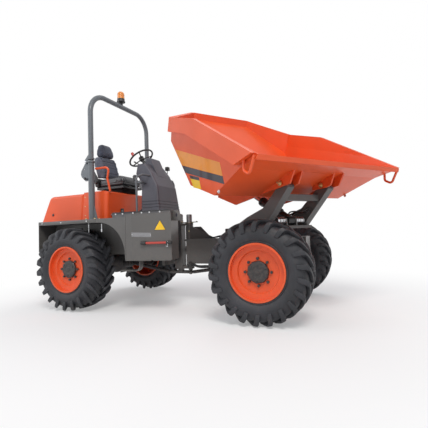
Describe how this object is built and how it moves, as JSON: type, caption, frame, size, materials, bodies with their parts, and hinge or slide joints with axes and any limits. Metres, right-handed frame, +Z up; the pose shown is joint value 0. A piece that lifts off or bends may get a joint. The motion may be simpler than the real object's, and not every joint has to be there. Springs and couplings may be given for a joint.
{
  "type": "articulated swivel-skip site dumper",
  "caption": "Articulated site dumper with a swivelling, tipping front skip, open driver's platform and folding roll-over hoop, parked with the skip swung to the right and nose down.",
  "frame": {"origin": "on the ground under the middle of the bounding box as parked", "axes": "+X forward along the straight chassis, +Y to the driver's left, +Z up"},
  "size_m": [4.9786, 2.7736, 3.2507],
  "materials": {
    "paint_orange": "semi-gloss",
    "paint_red": "semi-gloss",
    "chassis_grey": "satin",
    "hoop_grey": "satin",
    "deck_grey": "matte",
    "axle_grey": "satin",
    "engine_metal": "satin",
    "black_metal": "satin",
    "rod_chrome": "polished",
    "black_plastic": "matte",
    "console_plastic": "matte",
    "seat_cloth": "matte",
    "amber_lens": "gloss",
    "tyre": "matte"
  },
  "bodies": {
    "rear_chassis": {"rear_frame": "chassis_grey", "side_tanks": "chassis_grey", "fenders": "chassis_grey", "platform_deck": "deck_grey", "steps": "chassis_grey", "rear_axle": "axle_grey", "engine_block": "engine_metal", "tail_panel": "paint_orange", "tow_lug": "chassis_grey", "seat_box": "paint_orange", "seat_suspension": "black_metal", "seat_cushion": "seat_cloth", "seat_backrest": "seat_cloth", "console": "console_plastic", "steering_wheel": "black_plastic", "grab_rails": "paint_orange", "handrails": "chassis_grey", "rops_posts": "hoop_grey", "lock_bar": "paint_red"},
    "hood": {"engine_hood": "paint_orange"},
    "rops": {"rops_hoop": "hoop_grey", "beacon_base": "black_plastic", "beacon_lens": "amber_lens"},
    "yoke": {"pivot_yoke": "chassis_grey"},
    "steer_ram_barrel": {"steer_barrel": "black_metal"},
    "steer_ram_rod": {"steer_rod": "rod_chrome"},
    "front_chassis": {"front_frame": "chassis_grey", "front_axle": "axle_grey", "slew_ring": "black_metal", "slew_motor": "black_metal"},
    "turret": {"turret_frame": "chassis_grey"},
    "tip_ram_barrel": {"tip_barrel": "black_metal"},
    "tip_ram_rod": {"tip_rod": "rod_chrome"},
    "skip": {"skip_shell": "paint_orange", "skip_underframe": "paint_orange"},
    "wheel_front_right": {"tyre_front_right": "tyre", "rim_front_right": "paint_orange", "hub_front_right": "axle_grey"},
    "wheel_front_left": {"tyre_front_left": "tyre", "rim_front_left": "paint_orange", "hub_front_left": "axle_grey"},
    "wheel_rear_right": {"tyre_rear_right": "tyre", "rim_rear_right": "paint_orange", "hub_rear_right": "axle_grey"},
    "wheel_rear_left": {"tyre_rear_left": "tyre", "rim_rear_left": "paint_orange", "hub_rear_left": "axle_grey"}
  },
  "joints": [
    {"name": "oscillation", "type": "hinge", "parent": "rear_chassis", "child": "yoke", "pos_m": [-0.49925, 0.16893, 0.7], "axis": [1, 0, 0], "range_deg": [-10, 10]},
    {"name": "steering", "type": "hinge", "parent": "yoke", "child": "front_chassis", "pos_m": [-0.19925, 0.16893, 0.78], "axis": [0, 0, 1], "range_deg": [-32, 32]},
    {"name": "skip_swivel", "type": "hinge", "parent": "front_chassis", "child": "turret", "pos_m": [0.90075, 0.16893, 0.966], "axis": [0, 0, 1], "range_deg": [-53.7, 126.3]},
    {"name": "skip_tip", "type": "hinge", "parent": "turret", "child": "skip", "pos_m": [1.52534, -0.28988, 1.441], "axis": [0.592, 0.8059, 0], "range_deg": [-18.2, 33.8]},
    {"name": "tip_ram_swing", "type": "hinge", "parent": "turret", "child": "tip_ram_barrel", "pos_m": [1.27953, -0.10932, 1.062], "axis": [0.592, 0.8059, 0], "range_deg": [-19.04, 34.94]},
    {"name": "tip_ram_stroke", "type": "slide", "parent": "tip_ram_barrel", "child": "tip_ram_rod", "axis": [-0.7078, 0.5199, 0.4782], "range_m": [-0.1502, 0.2773]},
    {"name": "steer_ram_swing", "type": "hinge", "parent": "yoke", "child": "steer_ram_barrel", "pos_m": [-0.38925, 0.43893, 0.7], "axis": [0, 0, 1], "range_deg": [-22.6, 22.6]},
    {"name": "steer_ram_stroke", "type": "slide", "parent": "steer_ram_barrel", "child": "steer_ram_rod", "axis": [1, 0, 0], "range_m": [-0.1519, 0.1519]},
    {"name": "hood_open", "type": "hinge", "parent": "rear_chassis", "child": "hood", "pos_m": [-1.60925, 0.16893, 1.58], "axis": [0, 1, 0], "range_deg": [0, 38]},
    {"name": "rops_fold", "type": "hinge", "parent": "rear_chassis", "child": "rops", "pos_m": [-1.44425, 0.16893, 2], "axis": [0, 1, 0], "range_deg": [-100, 0]},
    {"name": "wheel_front_right_spin", "type": "hinge", "parent": "front_chassis", "child": "wheel_front_right", "pos_m": [1.08475, -0.69357, 0.5375], "axis": [0, 1, 0], "continuous": true},
    {"name": "wheel_front_left_spin", "type": "hinge", "parent": "front_chassis", "child": "wheel_front_left", "pos_m": [1.08475, 1.03143, 0.5375], "axis": [0, 1, 0], "continuous": true},
    {"name": "wheel_rear_right_spin", "type": "hinge", "parent": "rear_chassis", "child": "wheel_rear_right", "pos_m": [-1.48325, -0.69357, 0.5375], "axis": [0, 1, 0], "continuous": true},
    {"name": "wheel_rear_left_spin", "type": "hinge", "parent": "rear_chassis", "child": "wheel_rear_left", "pos_m": [-1.48325, 1.03143, 0.5375], "axis": [0, 1, 0], "continuous": true}
  ],
  "couplings": [
    {"joint": "tip_ram_swing", "follows": "skip_tip", "ratio": 1.0188},
    {"joint": "tip_ram_stroke", "follows": "skip_tip", "m_per_rad": 0.4667},
    {"joint": "steer_ram_swing", "follows": "steering", "ratio": 0.6907},
    {"joint": "steer_ram_stroke", "follows": "steering", "m_per_rad": -0.2684}
  ]
}
